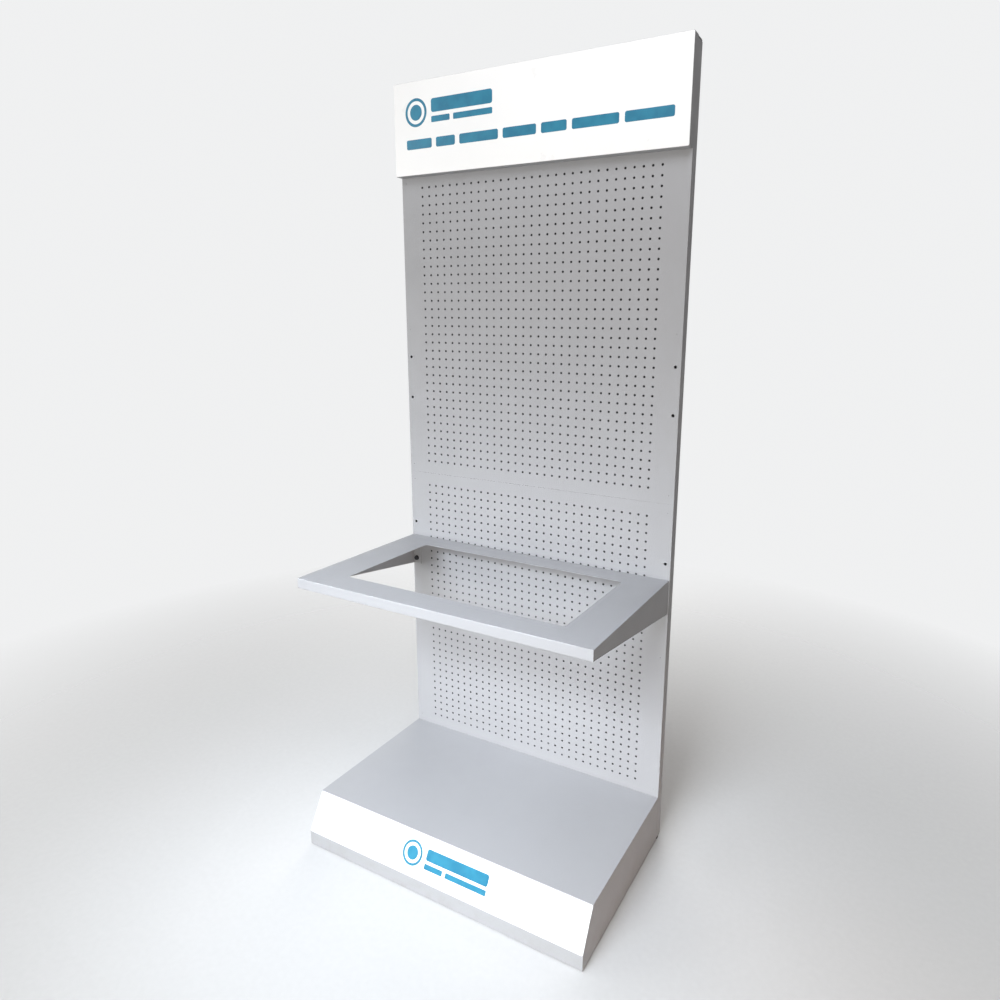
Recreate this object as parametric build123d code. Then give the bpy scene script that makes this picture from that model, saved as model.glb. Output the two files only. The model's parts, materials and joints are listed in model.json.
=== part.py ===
from build123d import *
import os
from math import atan2, cos, sin, tan

# Pegboard display stand: two perforated sheets on a tube frame with a closed back, a header box, a
# shelf with a cut-out for a built-in appliance, and a low base with a slanted front, on four
# levelling feet.
# Millimetres. X runs to the right, Y to the back and Z up. The origin is on the floor, at the
# middle of the footprint.

# Overall
width = 900
overall_height = 2200
base_reach = 515  # how far the base stands in front of the pegboards
floor_gap = 3  # the skirts end this far above the floor
sheet = 1.2  # steel sheet of the panels and covers
bend = 1.5  # middle radius of a folded edge

# Tube frame
tube = 30
tube_wall = 1.5
tube_corner = 2.5
upright_bottom = 9
cap_height = 8
cap_dome = 6
cap_plug = 18

# Pegboards
peg_pitch = 25
peg_columns = 31
peg_rows = 34
peg_radius = 3.2
peg_margin = 40
seam = 0.1
first_peg_row = 190

# Header
header_height = 250
header_reach = 27
header_corner = 3
header_flange = 45
header_lip = 15
header_screw_inset = 8  # from the free edge of the back flange

# Shelf
shelf_top = 838
shelf_reach = 500
shelf_width = 897
apron_height = 29
bracket_height = 100
bracket_sheet = 2
bracket_flange = 20
cutout_width = 675
cutout_depth = 345
cutout_back_rail = 75
cutout_corner = 8
cutout_edge = 0.4

# Base
deck_top = 150
deck_reach = 460
toe_height = 47
flange = 15
return_width = 16
rear_lip = 25
stiffener_width = 40
stiffener_height = 20

# White sign faces and the blue marks on them
sign_sheet = 1
sign_margin = 1
mark_thickness = 0.2
ring_inside = 0.8  # of the emblem's radius
disc_radius = 0.55  # of the emblem's radius
bar_corner = 0.2  # of a bar's height
header_emblem = (-370, 42, 38)  # X and Y from the sign's middle, and radius
base_emblem = (-86, 2, 33)
header_bars = (  # X of the left end, Y, height, gap and widths of each row
    (-316, 55, 36, 0, (206,)),
    (-316, 19, 16, 12, (64, 130)),
    (-406, -42, 26, 15, (90, 66, 128, 104, 76, 132, 130)),
)
base_bars = (
    (-40, 12, 30, 0, (200,)),
    (-40, -18, 14, 10, (60, 130)),
)

# M8 bolts in blind rivet nuts, at the middle of each upright
bolt_radius = 3.35
bolt_hole = 4.5
bolt_length = 16
bolt_head_flats = 13
bolt_head_height = 5.3
washer_radius = 8
washer_thickness = 1.6
rivet_bore = 3.4
rivet_radius = 5.45
rivet_length = 15
rivet_flange_radius = 6
rivet_flange = 0.5
fit_gap = 0.05
shelf_bolt_low = 757
shelf_bolt_pitch = 50
spare_hole_pitch = 127
spare_shelf_rise = 540
base_bolt_heights = (82, 125)

# Small screws
screw_shank = 2.4
screw_length = 8
countersunk_radius = 4.4
pan_head_radius = 4.7
pan_head_height = 2.6
recess_flats = 3
screw_from_edge = 25

# M10 levelling feet
foot_inset = 60  # from the base's sides
foot_from_front = 74
pad_radius = 15
pad_height = 6
hub_radius = 8
hub_top = 7
journal_radius = 4
journal_bottom = 2.2
journal_gap = 0.06
socket_floor = 2
stem_radius = 5
stem_gap = 0.05
stem_top = 64
stem_chamfer = 1
stem_collar = 10.2
stem_hex_flats = 14
stem_hex_height = 5.8
lock_nut_height = 5
nut_flats = 17
nut_height = 8
foot_plate_bottom = 21.2
foot_plate = 4
foot_plate_half = 30
foot_bracket_top = 62
insert_rim = 1.5
insert_depth = 30
insert_bore = 10.3  # clear of the lock nut's corners
insert_gap = 0.1

# Worked out from the sizes above
half_width = width / 2
depth = base_reach + tube + 2 * sheet
panel_front = base_reach - depth / 2
tube_front = panel_front + sheet
tube_back = tube_front + tube
upright_x = half_width - tube / 2
upright_top = overall_height - cap_height
header_bottom = overall_height - header_height
header_front = panel_front - header_reach
shelf_front = panel_front - shelf_reach
deck_under = deck_top - sheet
deck_front = panel_front - deck_reach
peg_field_height = (peg_rows - 1) * peg_pitch
lower_panel_top = first_peg_row + peg_field_height + peg_margin
upper_panel_bottom = lower_panel_top + seam
upper_panel_top = upper_panel_bottom + peg_field_height + 2 * peg_margin
header_sheet_bottom = upper_panel_top + seam
lean = atan2(base_reach - deck_reach, deck_under - toe_height)
shelf_bolt_heights = (shelf_bolt_low, shelf_bolt_low + shelf_bolt_pitch)
spare_heights = (
    shelf_bolt_low + spare_hole_pitch,
    shelf_bolt_low + spare_shelf_rise,
    shelf_bolt_low + spare_shelf_rise + spare_hole_pitch,
)
rivet_heights = base_bolt_heights + shelf_bolt_heights + spare_heights
foot_places = {
    "front_left": (foot_inset - half_width, panel_front - base_reach + foot_from_front),
    "front_right": (half_width - foot_inset, panel_front - base_reach + foot_from_front),
    "rear_left": (-upright_x, tube_front + tube / 2),
    "rear_right": (upright_x, tube_front + tube / 2),
}


def block(x, y, z):
    """A box between the low and high limits on each axis."""
    middle = Pos((x[0] + x[1]) / 2, (y[0] + y[1]) / 2, (z[0] + z[1]) / 2)
    return middle * Box(x[1] - x[0], y[1] - y[0], z[1] - z[0])


def mirrored(limits):
    """The same limits on the other side of the middle plane."""
    return (-limits[1], -limits[0])


def on_side(side, limits):
    """Limits in X given for the right-hand side, moved to the named side."""
    return limits if side == "right" else mirrored(limits)


def rod_y(x, z, radius, start, end):
    """A cylinder along Y."""
    return Pos(x, (start + end) / 2, z) * Rot(90, 0, 0) * Cylinder(radius, end - start)


def rod_z(x, y, radius, start, end):
    """A cylinder along Z."""
    return Pos(x, y, (start + end) / 2) * Cylinder(radius, end - start)


def hexagon_y(x, z, flats, start, end):
    """A hexagonal prism along Y."""
    outline = RegularPolygon(flats / 2, 6, major_radius=False)
    return extrude(Plane((x, end, z), x_dir=(1, 0, 0), z_dir=(0, -1, 0)) * outline, end - start)


def hexagon_z(x, y, flats, start, end):
    """A hexagonal prism along Z."""
    outline = RegularPolygon(flats / 2, 6, major_radius=False)
    return extrude(Plane((x, y, start)) * outline, end - start)


def folded(points, x):
    """A folded sheet: its middle line in (Y, Z), between two limits in X."""
    line = FilletPolyline(*points, radius=bend)
    section = trace(line, sheet)
    return Pos(x[0], 0, 0) * extrude(Plane.YZ * section, x[1] - x[0])


def to_back(shape):
    """The same shape, mirrored from the frame's front to its back."""
    return mirror(shape, about=Plane.XZ.offset(-(tube_front + tube / 2)))


def plate_yz(points, x):
    """A flat plate with an outline in (Y, Z), between two limits in X."""
    outline = make_face(Polyline(*points, close=True))
    return Pos(x[0], 0, 0) * extrude(Plane.YZ * outline, x[1] - x[0])


def square_tube(x, y, z, axis):
    """A square tube with rounded corners and open ends."""
    walls = {name: tube_wall for name in "XYZ"}
    walls[axis] = 0
    limits = {"X": x, "Y": y, "Z": z}
    inner = [(low + walls[n], high - walls[n]) for n, (low, high) in limits.items()]
    along = {"X": Axis.X, "Y": Axis.Y, "Z": Axis.Z}[axis]
    outside = block(x, y, z)
    outside = fillet(outside.edges().filter_by(along), tube_corner)
    inside = block(*inner)
    inside = fillet(inside.edges().filter_by(along), tube_corner - tube_wall)
    return outside - inside


def base_front(inset):
    """The base's front line in (Y, Z) from under the deck to the floor edge, moved inwards."""
    shift = inset / cos(lean)
    knee_height = toe_height - (shift - inset) / tan(lean)
    toe = panel_front - base_reach + inset
    return (deck_front + shift, deck_under), (toe, knee_height), (toe, floor_gap)


# ---- Tube frame ----


def upright(side):
    x = on_side(side, (half_width - tube, half_width))
    centre = upright_x if side == "right" else -upright_x
    body = square_tube(x, (tube_front, tube_back), (upright_bottom, upright_top), "Z")
    inner_face = tube_front + tube_wall
    for height in rivet_heights:
        body -= rod_y(centre, height, rivet_radius + fit_gap, tube_front, inner_face)
        counterbore = rivet_flange_radius + fit_gap
        body -= rod_y(centre, height, counterbore, tube_front, tube_front + rivet_flange)
    for height in panel_screw_heights():
        hole = rod_y(centre, height, screw_shank + fit_gap, tube_front, inner_face)
        body -= [hole, to_back(hole)]
    return body


def cross_rail(middle_height):
    x = (tube - half_width, half_width - tube)
    z = (middle_height - tube / 2, middle_height + tube / 2)
    return square_tube(x, (tube_front, tube_back), z, "X")


def upright_caps():
    """Plastic caps pressed into the tops of the uprights."""
    caps = []
    inside = tube - 2 * tube_wall - 2 * insert_gap
    for side in ("left", "right"):
        x = on_side(side, (half_width - tube, half_width))
        cap = block(x, (tube_front, tube_back), (upright_top, upright_top + cap_height))
        cap = fillet(cap.edges().filter_by(Axis.Z), tube_corner)
        cap = fillet(cap.faces().sort_by(Axis.Z)[-1].edges(), cap_dome)
        centre = Pos((x[0] + x[1]) / 2, tube_front + tube / 2, upright_top - cap_plug / 2)
        plug = centre * Box(inside, inside, cap_plug)
        plug = fillet(plug.edges().filter_by(Axis.Z), tube_corner - tube_wall)
        hollow = centre * Box(inside - 2 * tube_wall, inside - 2 * tube_wall, cap_plug)
        caps.append(cap + (plug - hollow))
    return Compound(children=caps)


# ---- Sheets on the frame ----


def sheet_screw_heights(bottom, top, rows):
    """Heights of the screws that hold one sheet, evenly spaced between its ends."""
    step = (top - bottom - 2 * screw_from_edge) / (rows - 1)
    return [bottom + screw_from_edge + step * row for row in range(rows)]


def panel_screw_heights():
    return (
        sheet_screw_heights(first_peg_row - peg_margin, lower_panel_top, 3)
        + sheet_screw_heights(upper_panel_bottom, upper_panel_top, 3)
        + sheet_screw_heights(header_sheet_bottom, upright_top, 2)
    )


def panel_screw_places():
    return [(side * upright_x, height) for side in (-1, 1) for height in panel_screw_heights()]


def front_sheet(bottom, top, first_row=None):
    """A flat sheet across both uprights, with a peg field if it has a first row of holes."""
    corners = [(-half_width, bottom), (half_width, bottom), (half_width, top), (-half_width, top)]
    outline = Wire.make_polygon([(x, panel_front, z) for x, z in corners], close=True)
    holes = [
        (side * upright_x, height, bolt_hole)
        for side in (-1, 1)
        for height in rivet_heights
        if bottom < height < top
    ]
    if first_row is not None:
        left = -(peg_columns - 1) * peg_pitch / 2
        holes += [
            (left + column * peg_pitch, first_row + row * peg_pitch, peg_radius)
            for column in range(peg_columns)
            for row in range(peg_rows)
        ]
    rings = [
        Wire.make_circle(radius, Plane((x, panel_front, z), z_dir=(0, -1, 0)))
        for x, z, radius in holes
    ]
    body = extrude(Face(outline, rings), sheet, dir=(0, 1, 0))
    return body - countersinks(bottom, top)


def back_sheet(bottom, top):
    """A plain sheet across the back of the frame."""
    body = block((-half_width, half_width), (panel_front, tube_front), (bottom, top))
    return to_back(body - countersinks(bottom, top))


def countersinks(bottom, top):
    """Room for the heads of the screws between two heights."""
    return [
        countersunk_head(x, height, fit_gap)
        for x, height in panel_screw_places()
        if bottom < height < top
    ]


def countersunk_head(x, z, gap):
    """The cone of a countersunk head, as deep as the sheet, its wide end at the front."""
    cone = Cone(countersunk_radius + gap - sheet, countersunk_radius + gap, sheet)
    return Pos(x, panel_front + sheet / 2, z) * Rot(90, 0, 0) * cone


def panel_screw(x, z):
    screw = countersunk_head(x, z, 0)
    screw += rod_y(x, z, screw_shank, tube_front, panel_front + screw_length)
    return screw - hexagon_y(x, z, recess_flats, panel_front, tube_front)


def panel_screws():
    return Compound(children=[panel_screw(x, z) for x, z in panel_screw_places()])


def back_screws():
    return Compound(children=[to_back(panel_screw(x, z)) for x, z in panel_screw_places()])


def rivet_nuts():
    """Blind rivet nuts set flush in the uprights' front walls."""
    nuts = []
    for side in (-1, 1):
        for height in rivet_heights:
            x = side * upright_x
            nut = rod_y(x, height, rivet_flange_radius, tube_front, tube_front + rivet_flange)
            nut += rod_y(x, height, rivet_radius, tube_front, tube_front + rivet_length)
            nut -= rod_y(x, height, rivet_bore, tube_front, tube_front + rivet_length)
            nuts.append(nut)
    return Compound(children=nuts)


# ---- Bolts ----


def bolts(heights, seat):
    """Hex bolts whose washers lie on a flange with its front at the given Y."""
    made = []
    for side in (-1, 1):
        for height in heights:
            x = side * upright_x
            head_back = seat - washer_thickness
            bolt = hexagon_y(x, height, bolt_head_flats, head_back - bolt_head_height, head_back)
            bolt += rod_y(x, height, bolt_radius, head_back, head_back + bolt_length)
            made.append(bolt)
    return Compound(children=made)


def washers(heights, seat):
    made = []
    for side in (-1, 1):
        for height in heights:
            x = side * upright_x
            ring = rod_y(x, height, washer_radius, seat - washer_thickness, seat)
            made.append(ring - rod_y(x, height, bolt_hole, seat - washer_thickness, seat))
    return Compound(children=made)


# ---- Header ----


def header_box():
    """A shallow folded tray with its open side to the back."""
    front = header_front + sign_sheet
    x = (-half_width, half_width)
    z = (header_bottom, overall_height)
    tray = block(x, (front, panel_front), z)
    tray = fillet(tray.edges().filter_by(Axis.Y), header_corner)
    tray = fillet(tray.faces().sort_by(Axis.Y)[0].edges(), sheet)
    inner_x = (x[0] + sheet, x[1] - sheet)
    inner_z = (z[0] + sheet, z[1] - sheet)
    tray -= block(inner_x, (front + sheet, panel_front - sheet), inner_z)
    opening_x = (inner_x[0] + header_flange, inner_x[1] - header_flange)
    opening_z = (inner_z[0] + header_lip, inner_z[1] - header_lip)
    tray -= block(opening_x, (front + sheet, panel_front), opening_z)
    for x_screw, z_screw in header_screw_places():
        tray -= rod_y(x_screw, z_screw, screw_shank + fit_gap, panel_front - sheet, panel_front)
    return tray


def header_screw_places():
    """Inboard of the uprights, on the tray's back flanges."""
    x = half_width - sheet - header_flange + header_screw_inset
    heights = (header_sheet_bottom + 2 * peg_pitch, upright_top - 2 * peg_pitch)
    return [(side * x, height) for side in (-1, 1) for height in heights]


def header_back_sheet():
    body = front_sheet(header_sheet_bottom, upright_top)
    for x, z in header_screw_places():
        body -= rod_y(x, z, screw_shank + fit_gap, panel_front, tube_front)
    return body


def header_screws():
    """Pan head screws put in from behind."""
    screws = []
    for x, z in header_screw_places():
        head = rod_y(x, z, pan_head_radius, tube_front, tube_front + pan_head_height)
        head = fillet(head.edges().sort_by(Axis.Y)[-1], sheet)
        screw = head + rod_y(x, z, screw_shank, tube_front - screw_length, tube_front)
        socket_end = tube_front + pan_head_height
        screw -= hexagon_y(x, z, recess_flats, socket_end - sheet, socket_end)
        screws.append(screw)
    return Compound(children=screws)


def header_sign():
    size_x = width - 2 * sign_margin
    size_z = header_height - 2 * sign_margin
    middle = (0, header_front + sign_sheet, header_bottom + header_height / 2)
    outline = RectangleRounded(size_x, size_z, header_corner)
    return extrude(Plane(middle, x_dir=(1, 0, 0), z_dir=(0, -1, 0)) * outline, sign_sheet)


# ---- Blue marks ----


def emblem(x, y, radius):
    """A plain disc inside a ring."""
    ring = Circle(radius) - Circle(radius * ring_inside)
    return Pos(x, y) * (ring + Circle(radius * disc_radius))


def bars(left, y, bar_height, gap, sizes):
    """A row of plain bars, from its left end."""
    row = Sketch()
    for size in sizes:
        bar = RectangleRounded(size, bar_height, bar_height * bar_corner)
        row += Pos(left + size / 2, y) * bar
        left += size + gap
    return row


def marks(plane, emblem_place, rows):
    """A plain emblem and its rows of bars, raised from a plane."""
    outline = emblem(*emblem_place)
    for row in rows:
        outline += bars(*row)
    return extrude(plane * outline, mark_thickness)


def header_marks():
    middle = (0, header_front, header_bottom + header_height / 2)
    plane = Plane(middle, x_dir=(1, 0, 0), z_dir=(0, -1, 0))
    return marks(plane, header_emblem, header_bars)


def base_marks():
    return marks(sign_plane(sign_sheet), base_emblem, base_bars)


# ---- Shelf ----


def shelf_deck():
    """The top sheet with its apron, its back lip and the cut-out."""
    half = shelf_width / 2
    front = shelf_front + sheet / 2
    back = panel_front - sheet / 2
    top = shelf_top - sheet / 2
    apron_bottom = shelf_top - apron_height + sheet / 2
    path = [
        (front + flange, apron_bottom),
        (front, apron_bottom),
        (front, top),
        (back, top),
        (back, shelf_top - rear_lip),
    ]
    body = folded(path, (-half, half))
    for side in ("left", "right"):
        under = (shelf_top - bracket_height, shelf_top - sheet)
        end_strip = on_side(side, (half - bracket_sheet - fit_gap, half))
        body -= block(end_strip, (shelf_front + sheet, panel_front), under)
        lip_end = on_side(side, (half - tube - flange, half))
        body -= block(lip_end, (panel_front - 2 * sheet - bend, panel_front), under)
    hole = RectangleRounded(cutout_width, cutout_depth, cutout_corner)
    middle = panel_front - cutout_back_rail - cutout_depth / 2
    body -= extrude(Plane((0, middle, shelf_top - sheet)) * hole, sheet)
    top_face = body.faces().sort_by(Axis.Z)[-1]
    return fillet(top_face.inner_wires()[0].edges(), cutout_edge)


def shelf_bracket(side):
    """A tapered side plate with a flange under the deck and one against the pegboard."""
    half = shelf_width / 2
    top = shelf_top - sheet
    bottom = shelf_top - bracket_height
    front = shelf_front + sheet
    outline = [
        (front, top),
        (panel_front, top),
        (panel_front, bottom),
        (front, shelf_top - apron_height + sheet),
    ]
    body = plate_yz(outline, on_side(side, (half - bracket_sheet, half)))
    seat = panel_front - bracket_sheet
    body += block(on_side(side, (half - tube, half)), (seat, panel_front), (bottom, top))
    top_flange = on_side(side, (half - bracket_flange, half))
    top_y = (front + 2 * flange, seat)
    body += block(top_flange, top_y, (top - bracket_sheet, top))
    centre = upright_x if side == "right" else -upright_x
    for height in shelf_bolt_heights:
        body -= rod_y(centre, height, bolt_hole, seat, panel_front)
    return body


# ---- Base ----


def base_deck():
    top = deck_top - sheet / 2
    back = panel_front - sheet / 2
    path = [(deck_front, top), (back, top), (back, deck_top - rear_lip)]
    body = folded(path, (-half_width, half_width))
    lip_reach = (panel_front - 2 * sheet - bend, panel_front)
    for side in ("left", "right"):
        lip_end = on_side(side, (half_width - tube - flange, half_width))
        body -= block(lip_end, lip_reach, (deck_top - rear_lip, deck_under))
    return body


def base_fascia():
    """The slanted front with its vertical toe, and a return at the top and the bottom."""
    middle = sheet / 2
    return_height = deck_under - middle
    _, knee, toe = base_front(middle)
    slope_y = deck_front + middle / cos(lean) - middle * tan(lean)
    foot_height = floor_gap + middle
    path = [
        (slope_y + return_width, return_height),
        (slope_y, return_height),
        knee,
        (toe[0], foot_height),
        (toe[0] + return_width, foot_height),
    ]
    body = folded(path, (-half_width, half_width))
    return body - [base_side_plate(side) for side in ("left", "right")]


def base_side_plate(side):
    top, knee, toe = base_front(sheet)
    outline = [(panel_front, floor_gap), (panel_front, deck_under), top, knee, toe]
    return plate_yz(outline, on_side(side, (half_width - sheet, half_width)))


def base_side(side):
    """A side plate with flanges for the deck, the floor edge and the upright."""
    inner = half_width - sheet
    body = base_side_plate(side)
    clear = 2 * return_width
    top_y = (deck_front + clear, panel_front - sheet)
    flange_x = on_side(side, (inner - flange, inner))
    body += block(flange_x, top_y, (deck_under - sheet, deck_under))
    bottom_y = (panel_front - base_reach + clear, panel_front - sheet)
    body += block(flange_x, bottom_y, (floor_gap, floor_gap + sheet))
    seat = panel_front - sheet
    rear_x = on_side(side, (half_width - tube, inner))
    body += block(rear_x, (seat, panel_front), (floor_gap, deck_under))
    centre = upright_x if side == "right" else -upright_x
    for height in base_bolt_heights:
        body -= rod_y(centre, height, bolt_hole, seat, panel_front)
    return body


def deck_stiffener(side):
    """A hat section under the deck, from front to back."""
    middle_x = half_width / 3 if side == "right" else -half_width / 3
    half = stiffener_width / 2
    top = deck_under - sheet / 2
    bottom = deck_under - stiffener_height + sheet / 2
    path = [
        (middle_x - half - flange, top),
        (middle_x - half, top),
        (middle_x - half, bottom),
        (middle_x + half, bottom),
        (middle_x + half, top),
        (middle_x + half + flange, top),
    ]
    section = trace(FilletPolyline(*path, radius=bend), sheet)
    start = deck_front + 2 * return_width
    length = panel_front - 2 * sheet - bend - start
    plane = Plane((0, start + length, 0), x_dir=(1, 0, 0), z_dir=(0, -1, 0))
    return extrude(plane * section, length)


def sign_plane(proud):
    """A plane on the slanted front at the middle of its sign, raised off the steel."""
    top, knee, _ = base_front(-proud)
    middle = (0, (top[0] + knee[0]) / 2, (top[1] + knee[1]) / 2)
    return Plane(middle, x_dir=(1, 0, 0), z_dir=(0, -cos(lean), sin(lean)))


def base_sign():
    _, knee, _ = base_front(0)
    slope = (deck_under - knee[1]) / cos(lean)
    outline = RectangleRounded(width - 2 * sign_margin, slope - 2 * sign_margin, header_corner)
    return extrude(sign_plane(0) * outline, sign_sheet)


# ---- Levelling feet ----


def front_foot_bracket(side):
    """A welded angle inside the base's side plate that carries the foot's nut."""
    x, y = foot_places["front_" + side]
    outer = half_width - sheet
    reach = (half_width - foot_inset - foot_plate_half, outer)
    y_limits = (y - foot_plate_half, y + foot_plate_half)
    plate_z = (foot_plate_bottom, foot_plate_bottom + foot_plate)
    body = block(on_side(side, reach), y_limits, plate_z)
    ear = on_side(side, (outer - foot_plate, outer))
    body += block(ear, y_limits, (foot_plate_bottom, foot_bracket_top))
    return body - rod_z(x, y, stem_radius + 2 * stem_gap, *plate_z)


def rear_foot_insert(side):
    """A plastic insert in the upright's open end, moulded round a nut."""
    x, y = foot_places["rear_" + side]
    corner = Pos(x, y, 0)
    half = tube / 2 - tube_wall - insert_gap
    rim_bottom = upright_bottom - insert_rim
    rim = block((-tube / 2, tube / 2), (-tube / 2, tube / 2), (rim_bottom, upright_bottom))
    rim = fillet(rim.edges().filter_by(Axis.Z), tube_corner)
    plug_z = (upright_bottom, upright_bottom + insert_depth)
    plug = block((-half, half), (-half, half), plug_z)
    plug = fillet(plug.edges().filter_by(Axis.Z), tube_corner - tube_wall)
    body = corner * (rim + plug)
    body -= rod_z(x, y, insert_bore, rim_bottom, foot_plate_bottom)
    body -= rod_z(x, y, stem_radius + 2 * stem_gap, foot_plate_bottom, plug_z[1])
    return body - hexagon_z(x, y, nut_flats, *foot_nut_limits())


def foot_nut_limits():
    bottom = foot_plate_bottom + foot_plate
    return bottom, bottom + nut_height


def foot_nuts():
    """Weld nuts on the front brackets and moulded-in nuts in the rear inserts."""
    made = []
    for x, y in foot_places.values():
        nut = hexagon_z(x, y, nut_flats, *foot_nut_limits())
        made.append(nut - rod_z(x, y, stem_radius + stem_gap, *foot_nut_limits()))
    return Compound(children=made)


def foot_lock_nuts():
    made = []
    for x, y in foot_places.values():
        limits = (foot_plate_bottom - lock_nut_height, foot_plate_bottom)
        nut = hexagon_z(x, y, nut_flats, *limits)
        made.append(nut - rod_z(x, y, stem_radius + stem_gap, *limits))
    return Compound(children=made)


def foot_pad(place):
    """A round glide with a socket for the stem."""
    x, y = foot_places[place]
    disc = rod_z(x, y, pad_radius, 0, pad_height)
    disc = fillet(disc.edges().sort_by(Axis.Z)[-1], pad_height / 2)
    body = disc + rod_z(x, y, hub_radius, 0, hub_top)
    return body - rod_z(x, y, journal_radius + journal_gap, socket_floor, hub_top)


def foot_stem(place):
    """A threaded stem: a journal in the pad, a hexagon for a spanner and a shank in the nuts."""
    x, y = foot_places[place]
    body = rod_z(x, y, journal_radius, journal_bottom, stem_collar)
    body += hexagon_z(x, y, stem_hex_flats, stem_collar, stem_collar + stem_hex_height)
    shank = rod_z(x, y, stem_radius, stem_collar, stem_top)
    return body + chamfer(shank.edges().sort_by(Axis.Z)[-1], stem_chamfer)


def build():
    sheet_bottom = upright_bottom
    pieces = {
        "left_upright": upright("left"),
        "right_upright": upright("right"),
        "bottom_rail": cross_rail(upright_bottom + tube / 2),
        "middle_rail": cross_rail(upper_panel_bottom - seam / 2),
        "top_rail": cross_rail(upper_panel_top - tube / 2),
        "header_rail": cross_rail(upright_top - tube),
        "upright_caps": upright_caps(),
        "lower_pegboard": front_sheet(sheet_bottom, lower_panel_top, first_peg_row),
        "upper_pegboard": front_sheet(
            upper_panel_bottom, upper_panel_top, upper_panel_bottom + peg_margin
        ),
        "header_back_sheet": header_back_sheet(),
        "lower_back_sheet": back_sheet(sheet_bottom, lower_panel_top),
        "upper_back_sheet": back_sheet(upper_panel_bottom, upright_top),
        "panel_screws": panel_screws(),
        "back_screws": back_screws(),
        "rivet_nuts": rivet_nuts(),
        "header_box": header_box(),
        "header_screws": header_screws(),
        "header_sign": header_sign(),
        "header_marks": header_marks(),
        "shelf_deck": shelf_deck(),
        "left_shelf_bracket": shelf_bracket("left"),
        "right_shelf_bracket": shelf_bracket("right"),
        "shelf_bolts": bolts(shelf_bolt_heights, panel_front - bracket_sheet),
        "shelf_washers": washers(shelf_bolt_heights, panel_front - bracket_sheet),
        "base_deck": base_deck(),
        "base_fascia": base_fascia(),
        "left_base_side": base_side("left"),
        "right_base_side": base_side("right"),
        "left_deck_stiffener": deck_stiffener("left"),
        "right_deck_stiffener": deck_stiffener("right"),
        "base_sign": base_sign(),
        "base_marks": base_marks(),
        "base_bolts": bolts(base_bolt_heights, panel_front - sheet),
        "base_washers": washers(base_bolt_heights, panel_front - sheet),
        "left_foot_bracket": front_foot_bracket("left"),
        "right_foot_bracket": front_foot_bracket("right"),
        "left_foot_insert": rear_foot_insert("left"),
        "right_foot_insert": rear_foot_insert("right"),
        "foot_nuts": foot_nuts(),
        "foot_lock_nuts": foot_lock_nuts(),
    }
    for place in foot_places:
        pieces[place + "_foot_pad"] = foot_pad(place)
        pieces[place + "_foot_stem"] = foot_stem(place)
    return pieces


os.makedirs("parts", exist_ok=True)
for node, shape in build().items():
    export_step(shape, f"parts/{node}.step")
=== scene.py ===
"""Looks of the pegboard display stand: its materials, fine detail, studio and camera."""

import json
import math

import bmesh
import bpy
from mathutils import Matrix, Vector


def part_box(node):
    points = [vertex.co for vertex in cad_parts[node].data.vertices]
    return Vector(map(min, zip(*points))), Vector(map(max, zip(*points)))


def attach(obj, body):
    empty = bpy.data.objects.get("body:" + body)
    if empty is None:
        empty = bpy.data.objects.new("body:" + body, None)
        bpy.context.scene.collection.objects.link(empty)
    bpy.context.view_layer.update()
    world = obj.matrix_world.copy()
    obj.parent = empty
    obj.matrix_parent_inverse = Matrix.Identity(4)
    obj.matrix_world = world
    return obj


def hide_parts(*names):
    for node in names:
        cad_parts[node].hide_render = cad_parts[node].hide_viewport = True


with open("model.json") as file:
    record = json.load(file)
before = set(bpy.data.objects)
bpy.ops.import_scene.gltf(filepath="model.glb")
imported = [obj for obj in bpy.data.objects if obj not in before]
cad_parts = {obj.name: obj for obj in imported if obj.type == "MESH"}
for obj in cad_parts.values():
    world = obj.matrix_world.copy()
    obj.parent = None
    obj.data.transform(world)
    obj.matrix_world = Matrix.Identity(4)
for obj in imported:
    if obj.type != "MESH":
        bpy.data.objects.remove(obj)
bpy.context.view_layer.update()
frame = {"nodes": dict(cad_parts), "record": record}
nodes = frame["nodes"]

# Camera, in metres and degrees
CAMERA_PLACE = (1.0284, -1.5556, 1.5205)
CAMERA_YAW = 27.885
CAMERA_PITCH = -12.848
CAMERA_ROLL = 0.81
CAMERA_LENS = 25.413
CAMERA_SENSOR = 36.0
CAMERA_SHIFT = (-0.0526, -0.0115)

# Colours, in pairs of darkest and lightest where a surface varies
PAINT = (0.37, 0.372, 0.386)
DUST = (0.27, 0.25, 0.22)
# Painted shade inside the closed frame: a near-black that darkens the peg holes and the hollow
# behind them
HOLLOW_SHADE = (0.07, 0.07, 0.072)
FILM_WHITES = ((0.9, 0.905, 0.905), (0.93, 0.93, 0.925))
VINYL_BLUES = ((0.011, 0.155, 0.26), (0.016, 0.195, 0.31))
DARK_ZINC = ((0.05, 0.05, 0.055), (0.11, 0.11, 0.115))
BRIGHT_ZINC = ((0.5, 0.51, 0.53), (0.66, 0.67, 0.68))
NYLON_BLACKS = ((0.018, 0.018, 0.02), (0.05, 0.05, 0.052))
FLOOR_GREYS = ((0.53, 0.53, 0.53), (0.55, 0.55, 0.55))

# How high the dust reaches, and the margin from the sheets' front faces and the frame's sides at
# which the painted shade inside the frame begins, in metres
DUST_HEIGHT = 0.07
SHADE_MARGIN = 0.0008
FLAT_SHEETS = (
    "lower_pegboard",
    "upper_pegboard",
    "header_back_sheet",
    "lower_back_sheet",
    "upper_back_sheet",
)

# Fine detail on the sheets, in metres, and the angles that count as sharp, in degrees
SAME_PLACE = 1e-6
SOFT_EDGE = 0.0003
SOFT_EDGE_ANGLE = 40
SHARP_ANGLE = 35
SOFTENED = (
    "shelf_deck",
    "left_shelf_bracket",
    "right_shelf_bracket",
    "base_deck",
    "base_fascia",
    "left_base_side",
    "right_base_side",
    "header_sign",
    "base_sign",
)

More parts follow.
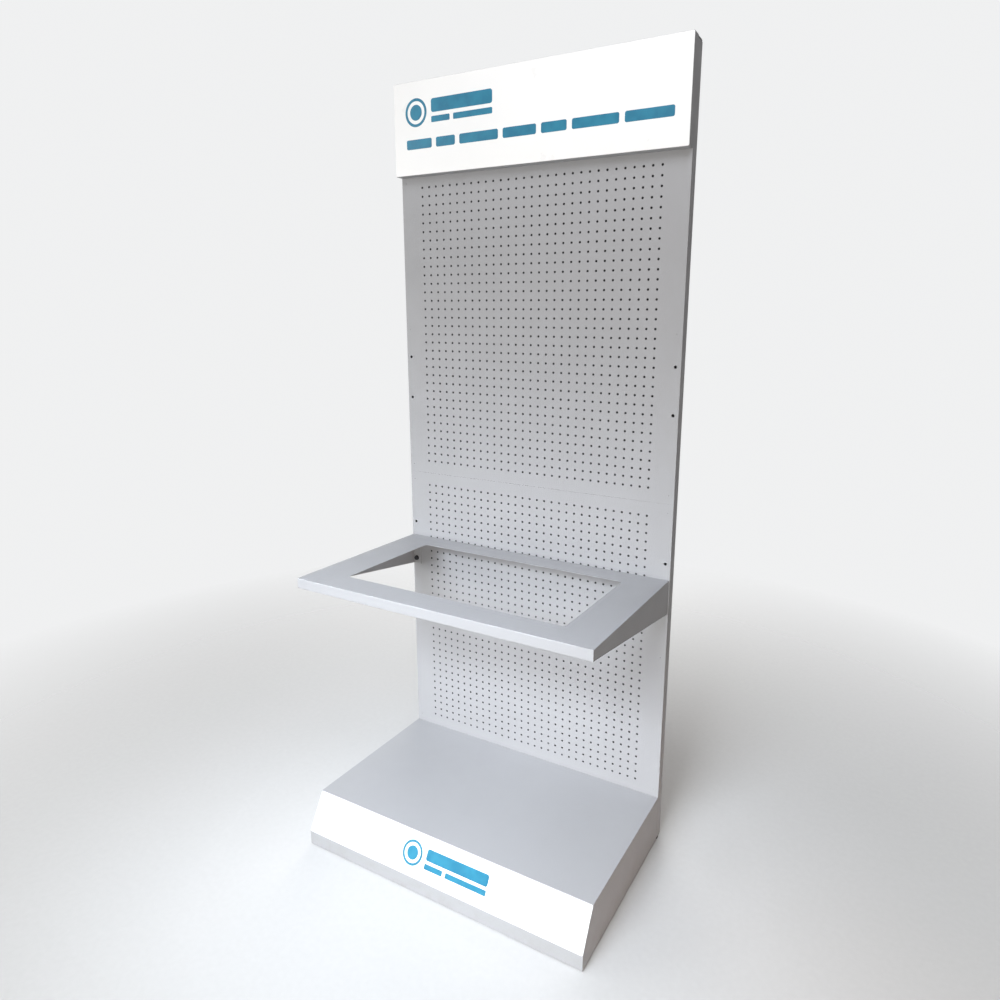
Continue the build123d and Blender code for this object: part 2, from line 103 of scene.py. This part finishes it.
# Stems, bolts and welds, in metres
FOOT_PLACES = ("front_left", "front_right", "rear_left", "rear_right")
BOLT_NODES = ("shelf_bolts", "base_bolts")
SIDES = 36
CHAMFER_FACE = 0.95  # of half the distance across the flats
CHAMFER_ANGLE = 30  # degrees
JOURNAL_RADIUS = 0.004
STEM_COLLAR = 0.0102
STEM_HEX_FLATS = 0.014
STEM_HEX_HEIGHT = 0.0058
STEM_RADIUS = 0.005
THREAD_PITCH = 0.0015
THREAD_DEPTH = 0.0009
THREAD_STEPS = 6
THREAD_SLOPE = 1.5
THREAD_ROOT = 0.25
BOLT_RADIUS = 0.00335
BOLT_HEAD_HEIGHT = 0.0053
DISH_DEPTH = 0.0005
BRACKET_FLANGE = 0.02
BEAD_RADIUS = 0.0014
BEAD_LENGTH = 0.025
BEAD_RIPPLE = 0.0016
BEAD_RIPPLE_DEPTH = 0.12  # of its radius
BEAD_TAPER = 0.97
BEAD_STEPS = 48
STITCHES = 5

# Lights: name, place, target, size, power in watts, colour and spread in degrees
LIGHTS = (
    ("left_side", (-3.3, -1.9, 1.5), (0, 0, 1.0), (2.6, 2.4), 97, (0.99, 1.0, 1.0), 180),
    ("front_right", (1.1, -2.6, 0.9), (0, 0, 0.4), (1.6, 1.2), 36, (1.0, 0.93, 0.82), 180),
    ("front_deck", (-0.1, -2.0, 1.9), (0, -0.1, 0.2), (1.8, 0.8), 15.5, (0.85, 0.92, 1.0), 60),
    ("top", (0.5, -1.0, 2.9), (0, -0.1, 0.3), (1.4, 1.4), 24, (0.95, 0.96, 1.0), 180),
    ("right_fill", (2.8, -0.3, 0.9), (0, 0, 0.9), (2.0, 2.0), 5, (1.0, 0.88, 0.8), 180),
    ("right_low", (1.7, -0.3, 0.4), (0.45, 0, 0.1), (0.8, 0.4), 0.3, (1.0, 0.5, 0.15), 60),
    ("back_fill", (-1.2, 2.9, 1.5), (0, 0, 1.0), (2.2, 2.0), 100, (1.0, 0.98, 0.96), 180),
)
UNSEEN_IN_GLOSS = "back_fill"
WORLD_COLOUR = (0.87, 0.875, 0.88)

# Floor, in metres
FLOOR_RADIUS = 2.8
FLOOR_SIDES = 96
FADE_START = 0.8


# ---- Materials ----


class Nodes:
    """A material's node tree, with short ways to add to it."""

    def __init__(self, name):
        self.material = bpy.data.materials.new(name)
        self.material.use_nodes = True
        self.tree = self.material.node_tree
        self.shader = self.tree.nodes["Principled BSDF"]
        self.place = self.tree.nodes.new("ShaderNodeTexCoord").outputs["Object"]

    def link(self, source, target):
        self.tree.links.new(source, target)

    def noise(self, scale, detail=2.0, roughness=0.5):
        node = self.tree.nodes.new("ShaderNodeTexNoise")
        node.inputs["Scale"].default_value = scale
        node.inputs["Detail"].default_value = detail
        node.inputs["Roughness"].default_value = roughness
        self.link(self.place, node.inputs["Vector"])
        return node.outputs["Fac"]

    def remap(self, value, low, high, to_low, to_high):
        """Moves the range low to high onto the range to_low to to_high, and holds it there."""
        node = self.tree.nodes.new("ShaderNodeMapRange")
        self.link(value, node.inputs["Value"])
        node.inputs["From Min"].default_value = low
        node.inputs["From Max"].default_value = high
        node.inputs["To Min"].default_value = to_low
        node.inputs["To Max"].default_value = to_high
        return node.outputs["Result"]

    def ramp(self, value, positions, colours):
        """A blend of two colours, from the first position to the second."""
        node = self.tree.nodes.new("ShaderNodeValToRGB")
        for element, position, colour in zip(node.color_ramp.elements, positions, colours):
            element.position = position
            element.color = (*colour, 1)
        self.link(value, node.inputs["Fac"])
        return node.outputs["Color"]

    def mix(self, factor, under, over):
        """A plain colour laid over a made one; sockets 6, 7 and output 2 are the colour ones."""
        node = self.tree.nodes.new("ShaderNodeMix")
        node.data_type = "RGBA"
        self.link(factor, node.inputs["Factor"])
        self.link(under, node.inputs[6])
        node.inputs[7].default_value = (*over, 1)
        return node.outputs[2]

    def maths(self, operation, first, second):
        node = self.tree.nodes.new("ShaderNodeMath")
        node.operation = operation
        for socket, value in zip(node.inputs, (first, second)):
            if isinstance(value, (int, float)):
                socket.default_value = value
            else:
                self.link(value, socket)
        return node.outputs["Value"]

    def place_along(self, axis):
        node = self.tree.nodes.new("ShaderNodeSeparateXYZ")
        self.link(self.place, node.inputs["Vector"])
        return node.outputs[axis]

    def bump(self, value, distance, strength, under=None):
        node = self.tree.nodes.new("ShaderNodeBump")
        node.inputs["Distance"].default_value = distance
        node.inputs["Strength"].default_value = strength
        self.link(value, node.inputs["Height"])
        if under is not None:
            self.link(under, node.inputs["Normal"])
        return node.outputs["Normal"]


def shade(colour, factor):
    """A colour made darker or lighter."""
    return tuple(channel * factor for channel in colour)


def powder_coat(name, with_painted_shade=False):
    """Light grey textured powder coat, dusty near the floor, with painted shade inside the frame
    where asked.
    """
    made = Nodes(name)
    broad = made.noise(2.2, 3.0)
    colour = made.ramp(broad, (0.3, 0.7), (shade(PAINT, 0.975), shade(PAINT, 1.025)))
    speckle = made.noise(1500.0, 1.0)
    grain = made.remap(speckle, 0.35, 0.65, 0.0, 0.16)
    colour = made.mix(grain, colour, shade(PAINT, 0.7))
    rubs = made.noise(26.0, 7.0, 0.7)
    colour = made.mix(made.remap(rubs, 0.66, 0.78, 0.0, 0.25), colour, shade(PAINT, 0.82))
    low = made.remap(made.place_along("Z"), 0.0, DUST_HEIGHT, 1.0, 0.0)
    dust = made.maths("MULTIPLY", made.remap(rubs, 0.46, 0.7, 0.05, 0.4), low)
    colour = made.mix(dust, colour, DUST)
    # Painted shade: near-black inside the closed frame, so that the peg holes look dark
    if with_painted_shade:
        colour = made.mix(painted_shade_mask(made), colour, HOLLOW_SHADE)
    made.link(colour, made.shader.inputs["Base Color"])
    worn = made.noise(14.0, 4.0)
    made.link(made.remap(worn, 0.3, 0.7, 0.52, 0.66), made.shader.inputs["Roughness"])
    made.shader.inputs["Specular IOR Level"].default_value = 0.35
    peel = made.bump(made.noise(620.0, 2.0), 0.00012, 0.5)
    fine = made.bump(speckle, 0.00005, 0.4, peel)
    made.link(fine, made.shader.inputs["Normal"])
    return made.material


def painted_shade_mask(made):
    """1 where the painted shade goes, inside the closed frame between its front and back sheets,
    and 0 outside it.
    """
    (_, front, _), (right, back, _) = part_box("right_upright")
    across = made.maths("ABSOLUTE", made.place_along("X"), 0.0)
    depth = made.place_along("Y")
    behind_front = made.remap(depth, front - SHADE_MARGIN, front - SHADE_MARGIN / 2, 0.0, 1.0)
    before_back = made.remap(depth, back, back + SHADE_MARGIN / 2, 1.0, 0.0)
    from_side = made.remap(across, right - 2 * SHADE_MARGIN, right - SHADE_MARGIN, 1.0, 0.0)
    inside = made.maths("MULTIPLY", behind_front, before_back)
    return made.maths("MULTIPLY", inside, from_side)


def white_sign():
    """A white printed film, slightly wavy and glossy."""
    made = Nodes("white_sign_film")
    broad = made.noise(3.0, 2.0)
    colour = made.ramp(broad, (0.35, 0.65), FILM_WHITES)
    made.link(colour, made.shader.inputs["Base Color"])
    smears = made.noise(9.0, 5.0)
    made.link(made.remap(smears, 0.3, 0.7, 0.26, 0.4), made.shader.inputs["Roughness"])
    waves = made.bump(made.noise(16.0, 1.0), 0.0006, 0.35)
    peel = made.bump(made.noise(900.0, 2.0), 0.00004, 0.3, waves)
    made.link(peel, made.shader.inputs["Normal"])
    return made.material


def blue_vinyl():
    """Cut vinyl film."""
    made = Nodes("blue_vinyl_film")
    broad = made.noise(30.0, 3.0)
    colour = made.ramp(broad, (0.35, 0.65), VINYL_BLUES)
    made.link(colour, made.shader.inputs["Base Color"])
    fingers = made.noise(60.0, 3.0)
    made.link(made.remap(fingers, 0.3, 0.7, 0.3, 0.45), made.shader.inputs["Roughness"])
    made.link(made.bump(made.noise(700.0), 0.00005, 0.4), made.shader.inputs["Normal"])
    return made.material


def plated(name, colours, rough):
    """Plated steel with a blotchy sheen."""
    made = Nodes(name)
    made.shader.inputs["Metallic"].default_value = 1.0
    blotches = made.noise(240.0, 5.0, 0.6)
    colour = made.ramp(blotches, (0.3, 0.7), colours)
    made.link(colour, made.shader.inputs["Base Color"])
    dull = made.noise(500.0, 4.0)
    made.link(made.remap(dull, 0.3, 0.7, *rough), made.shader.inputs["Roughness"])
    made.link(made.bump(made.noise(1800.0, 3.0), 0.00003, 0.4), made.shader.inputs["Normal"])
    return made.material


def black_plastic():
    """Moulded nylon with a fine grain and light scuffs."""
    made = Nodes("black_nylon")
    scuffs = made.noise(180.0, 5.0, 0.65)
    colour = made.ramp(scuffs, (0.45, 0.8), NYLON_BLACKS)
    made.link(colour, made.shader.inputs["Base Color"])
    worn = made.noise(90.0, 3.0)
    made.link(made.remap(worn, 0.3, 0.7, 0.42, 0.62), made.shader.inputs["Roughness"])
    made.link(made.bump(made.noise(1600.0, 2.0), 0.00008, 0.5), made.shader.inputs["Normal"])
    return made.material


finishes = {
    "powder_coat": powder_coat("powder_coat_paint"),
    "white_sign": white_sign(),
    "blue_vinyl": blue_vinyl(),
    "dark_zinc": plated("black_zinc", DARK_ZINC, (0.35, 0.55)),
    "zinc_steel": plated("bright_zinc", BRIGHT_ZINC, (0.25, 0.42)),
    "black_plastic": black_plastic(),
}
# The flat sheets' powder coat carries painted shade inside the closed frame
panel_finish = powder_coat("powder_coat_on_panels", with_painted_shade=True)
slot_of = {row["node"]: row["material_slot"] for row in frame["record"]["subparts"]}


def finish_nodes():
    """Gives each CAD node the material of its slot, and the flat sheets powder coat with painted
    shade inside the frame.
    """
    for name, node in nodes.items():
        node.data.materials.clear()
        finish = panel_finish if name in FLAT_SHEETS else finishes[slot_of[name]]
        node.data.materials.append(finish)


def soften_edges():
    """A fine bevel on the sharp edges of the folded and cut sheets."""
    for name in SOFTENED:
        weld = nodes[name].modifiers.new("weld", "WELD")
        weld.merge_threshold = SAME_PLACE
        bevel = nodes[name].modifiers.new("bevel", "BEVEL")
        bevel.limit_method = "ANGLE"
        bevel.angle_limit = math.radians(SOFT_EDGE_ANGLE)
        bevel.width = SOFT_EDGE
        bevel.segments = 2


# ---- Pieces ----


def add_turned(mesh, rings, place):
    """Adds a closed solid of rings about its own Z axis, each (height, radius at an angle)."""
    loops = []
    for height, radius in rings:
        turns = [math.tau * side / SIDES for side in range(SIDES)]
        spots = [
            (radius(turn) * math.cos(turn), radius(turn) * math.sin(turn), height)
            for turn in turns
        ]
        loops.append([mesh.verts.new(place @ Vector(spot)) for spot in spots])
    for lower, upper in zip(loops, loops[1:]):
        for side in range(SIDES):
            after = (side + 1) % SIDES
            mesh.faces.new((lower[side], lower[after], upper[after], upper[side]))
    mesh.faces.new(list(reversed(loops[0])))
    mesh.faces.new(loops[-1])


def circle(radius):
    """The same radius at every angle."""
    return lambda turn: radius


def hexagon(flats, most):
    """Radius of a hexagon at an angle, cut back to a circle where it stands out further."""

    def radius(turn):
        from_flat = (turn + math.pi / 6) % (math.pi / 3) - math.pi / 6
        return min(flats / 2 / math.cos(from_flat), most)

    return radius


def chamfered_hexagon(flats, start, end):
    """Rings of a hexagon with both of its ends chamfered."""
    corner = flats / 2 / math.cos(math.pi / 6)
    face = CHAMFER_FACE * flats / 2
    chamfer = (corner - face) * math.tan(math.radians(CHAMFER_ANGLE))
    return [
        (start, hexagon(flats, face)),
        (start + chamfer, hexagon(flats, corner)),
        (end - chamfer, hexagon(flats, corner)),
        (end, hexagon(flats, face)),
    ]


def thread(height):
    """Radius of a right-hand thread at an angle, at one height."""

    def radius(turn):
        phase = (height / THREAD_PITCH - turn / math.tau) % 1
        rise = min(1.0, max(0.0, THREAD_SLOPE * abs(2 * phase - 1) - THREAD_ROOT))
        return STEM_RADIUS - THREAD_DEPTH * (1 - rise)

    return radius


def make_piece(name, mesh, finish, body, replaced=()):
    """Turns a bmesh into a piece of the object that rides on a body."""
    bmesh.ops.recalc_face_normals(mesh, faces=mesh.faces)
    data = bpy.data.meshes.new(name)
    mesh.to_mesh(data)
    mesh.free()
    data.materials.append(finishes[finish])
    data.shade_smooth()
    data.set_sharp_from_angle(angle=math.radians(SHARP_ANGLE))
    piece = bpy.data.objects.new(name, data)
    bpy.context.scene.collection.objects.link(piece)
    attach(piece, body)
    if replaced:
        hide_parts(*replaced)


def threaded_stem(place):
    """A levelling foot's stem: a plain journal, a chamfered hexagon and a threaded shank."""
    node = place + "_foot_stem"
    low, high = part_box(node)
    shoulder = STEM_COLLAR + STEM_HEX_HEIGHT
    rings = [(low.z, circle(JOURNAL_RADIUS)), (STEM_COLLAR, circle(JOURNAL_RADIUS))]
    rings += chamfered_hexagon(STEM_HEX_FLATS, STEM_COLLAR, shoulder)
    tip = high.z - 2 * THREAD_DEPTH
    steps = round((tip - shoulder) / (THREAD_PITCH / THREAD_STEPS))
    for step in range(steps + 1):
        height = shoulder + (tip - shoulder) * step / steps
        rings.append((height, thread(height)))
    rings.append((high.z, circle(STEM_RADIUS - 2 * THREAD_DEPTH)))
    mesh = bmesh.new()
    middle = (low + high) / 2
    add_turned(mesh, rings, Matrix.Translation((middle.x, middle.y, 0)))
    make_piece(place + "_threaded_stem", mesh, "zinc_steel", place + "_screw", (node,))


def solids_in(node):
    """The lowest and highest corner of each separate solid in a CAD node."""
    mesh = bmesh.new()
    mesh.from_mesh(nodes[node].data)
    bmesh.ops.remove_doubles(mesh, verts=mesh.verts, dist=SAME_PLACE)
    left = set(mesh.verts)
    boxes = []
    while left:
        group = [left.pop()]
        for vert in group:
            for edge in vert.link_edges:
                other = edge.other_vert(vert)
                if other in left:
                    left.remove(other)
                    group.append(other)
        spots = [vert.co for vert in group]
        low = Vector([min(spot[axis] for spot in spots) for axis in range(3)])
        high = Vector([max(spot[axis] for spot in spots) for axis in range(3)])
        boxes.append((low, high))
    mesh.free()
    return boxes


def hex_bolts(node):
    """Bolts with chamfered heads, where the CAD node has plain ones, heads to the front."""
    mesh = bmesh.new()
    for low, high in solids_in(node):
        flats = min(high.x - low.x, high.z - low.z)
        length = high.y - low.y
        rings = [(DISH_DEPTH, circle(flats / 4)), (0, circle(flats / 3))]
        rings += chamfered_hexagon(flats, 0, BOLT_HEAD_HEIGHT)
        rings += [
            (BOLT_HEAD_HEIGHT, circle(BOLT_RADIUS)),
            (length - DISH_DEPTH, circle(BOLT_RADIUS)),
            (length, circle(BOLT_RADIUS - DISH_DEPTH)),
        ]
        middle = (low + high) / 2
        place = Matrix.Translation((middle.x, low.y, middle.z))
        add_turned(mesh, rings, place @ Matrix.Rotation(math.radians(-90), 4, "X"))
    make_piece("chamfered_" + node, mesh, "dark_zinc", "stand", (node,))


def bead(length):
    """Rings of one stitch of weld, rippled along its length."""
    rings = []
    for step in range(BEAD_STEPS + 1):
        along = step / BEAD_STEPS
        swell = math.sqrt(1 - BEAD_TAPER * abs(2 * along - 1) ** 5)
        wave = math.sin(math.pi * along * length / BEAD_RIPPLE) ** 2
        ripple = 1 - BEAD_RIPPLE_DEPTH * wave
        rings.append((along * length, circle(BEAD_RADIUS * swell * ripple)))
    return rings


def shelf_welds():
    """Stitches of weld between the shelf's deck and the flange of each bracket under it."""
    mesh = bmesh.new()
    for side, node in ((-1, "left_shelf_bracket"), (1, "right_shelf_bracket")):
        low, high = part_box(node)
        outside = max(abs(low.x), abs(high.x))
        start, end = low.y + 3 * BEAD_LENGTH, high.y - 2 * BEAD_LENGTH
        for stitch in range(STITCHES):
            along = start + (end - start) * stitch / (STITCHES - 1)
            corner = (side * (outside - BRACKET_FLANGE), along, high.z - BEAD_RADIUS / 2)
            place = Matrix.Translation(corner) @ Matrix.Rotation(math.radians(-90), 4, "X")
            add_turned(mesh, bead(BEAD_LENGTH), place)
    make_piece("shelf_welds", mesh, "powder_coat", "stand")


# ---- Studio ----


def studio_floor():
    """A round pale floor that fades out into the background."""
    mesh = bpy.data.meshes.new("studio_floor")
    corners = [
        (FLOOR_RADIUS * math.cos(turn), FLOOR_RADIUS * math.sin(turn), 0)
        for turn in (math.tau * step / FLOOR_SIDES for step in range(FLOOR_SIDES))
    ]
    mesh.from_pydata(corners, [], [range(FLOOR_SIDES)])
    floor = bpy.data.objects.new("studio_floor", mesh)
    bpy.context.scene.collection.objects.link(floor)
    made = Nodes("floor_paper")
    grain = made.noise(60.0, 4.0)
    colour = made.ramp(grain, (0.3, 0.7), FLOOR_GREYS)
    made.link(colour, made.shader.inputs["Base Color"])
    made.link(made.remap(grain, 0.3, 0.7, 0.85, 0.95), made.shader.inputs["Roughness"])
    distance = made.tree.nodes.new("ShaderNodeVectorMath")
    distance.operation = "LENGTH"
    made.link(made.place, distance.inputs["Vector"])
    fade = made.remap(distance.outputs["Value"], FADE_START, FLOOR_RADIUS, 1.0, 0.0)
    made.link(fade, made.shader.inputs["Alpha"])
    mesh.materials.append(made.material)


def area_light(name, place, target, size, power, colour, spread):
    """A rectangular light that the camera doesn't see."""
    data = bpy.data.lights.new(name, "AREA")
    data.shape = "RECTANGLE"
    data.size, data.size_y = size
    data.energy = power
    data.color = colour
    data.spread = math.radians(spread)
    light = bpy.data.objects.new(name, data)
    bpy.context.scene.collection.objects.link(light)
    light.location = place
    aim = Vector(target) - Vector(place)
    light.rotation_euler = aim.to_track_quat("-Z", "Y").to_euler()
    light.visible_camera = False
    light.visible_glossy = name != UNSEEN_IN_GLOSS


def studio():
    """The floor, the lights and an even background that doesn't light matt surfaces."""
    studio_floor()
    for light in LIGHTS:
        area_light(*light)
    world = bpy.data.worlds.new("studio_world")
    bpy.context.scene.world = world
    world.use_nodes = True
    background = world.node_tree.nodes["Background"]
    background.inputs["Color"].default_value = (*WORLD_COLOUR, 1)
    background.inputs["Strength"].default_value = 1.0
    world.cycles_visibility.diffuse = False
    bpy.context.scene.view_settings.view_transform = "Standard"


def photo_camera():
    """The camera, from its place, its angles and its lens."""
    data = bpy.data.cameras.new("camera")
    data.lens = CAMERA_LENS
    data.sensor_width = CAMERA_SENSOR
    data.shift_x, data.shift_y = CAMERA_SHIFT
    camera = bpy.data.objects.new("camera", data)
    bpy.context.scene.collection.objects.link(camera)
    turn = Matrix.Rotation(math.radians(CAMERA_YAW), 4, "Z")
    tilt = Matrix.Rotation(math.radians(90 + CAMERA_PITCH), 4, "X")
    roll = Matrix.Rotation(math.radians(CAMERA_ROLL), 4, "Z")
    camera.matrix_world = Matrix.Translation(CAMERA_PLACE) @ turn @ tilt @ roll
    bpy.context.scene.camera = camera


finish_nodes()
soften_edges()
for place in FOOT_PLACES:
    threaded_stem(place)
for node in BOLT_NODES:
    hex_bolts(node)
shelf_welds()
studio()
photo_camera()
